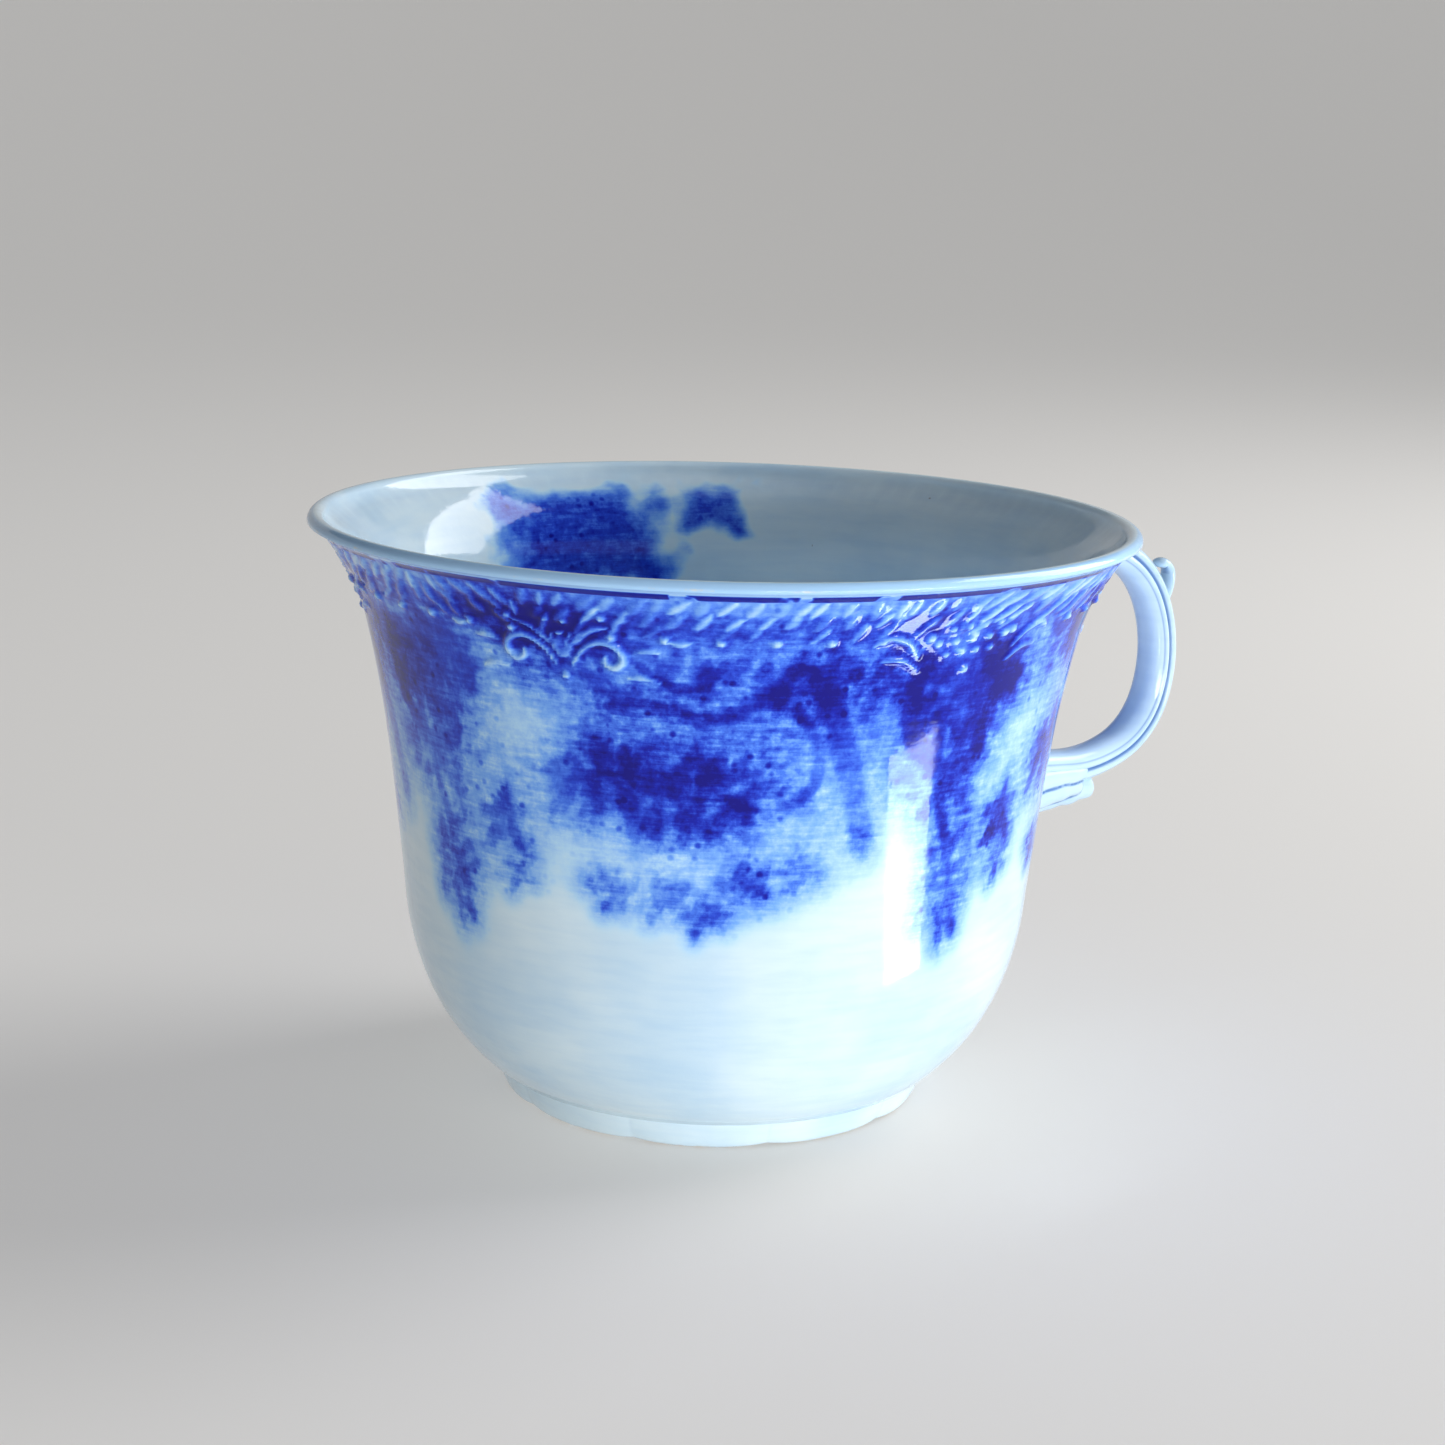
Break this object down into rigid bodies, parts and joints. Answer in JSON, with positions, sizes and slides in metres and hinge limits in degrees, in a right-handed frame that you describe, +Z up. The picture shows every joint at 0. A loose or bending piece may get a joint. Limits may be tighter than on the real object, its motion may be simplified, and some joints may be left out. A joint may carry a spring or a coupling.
{
  "type": "teacup",
  "caption": "Bell-mouthed teacup with a rounded lip, a low foot ring and a strap loop handle with a small thumb scroll and a leaf at its foot; blue printed glazed ware.",
  "frame": {"origin": "centre of the foot ring on the plane that it stands on", "axes": "+Z up out of the mouth, +X out along the handle, +Y completes the right-handed frame"},
  "size_m": [0.1102, 0.089, 0.0635],
  "materials": {
    "blue_printed_glaze": "cobalt blue underglaze print that bleeds into a pale blue-white body, under a clear gloss glaze",
    "plain_glaze": "clear gloss glaze over a pale blue-white body"
  },
  "bodies": {
    "root": {"bowl": "blue_printed_glaze", "foot_ring": "plain_glaze", "handle_loop": "plain_glaze", "thumb_scroll": "plain_glaze", "handle_leaf": "plain_glaze"}
  },
  "joints": []
}
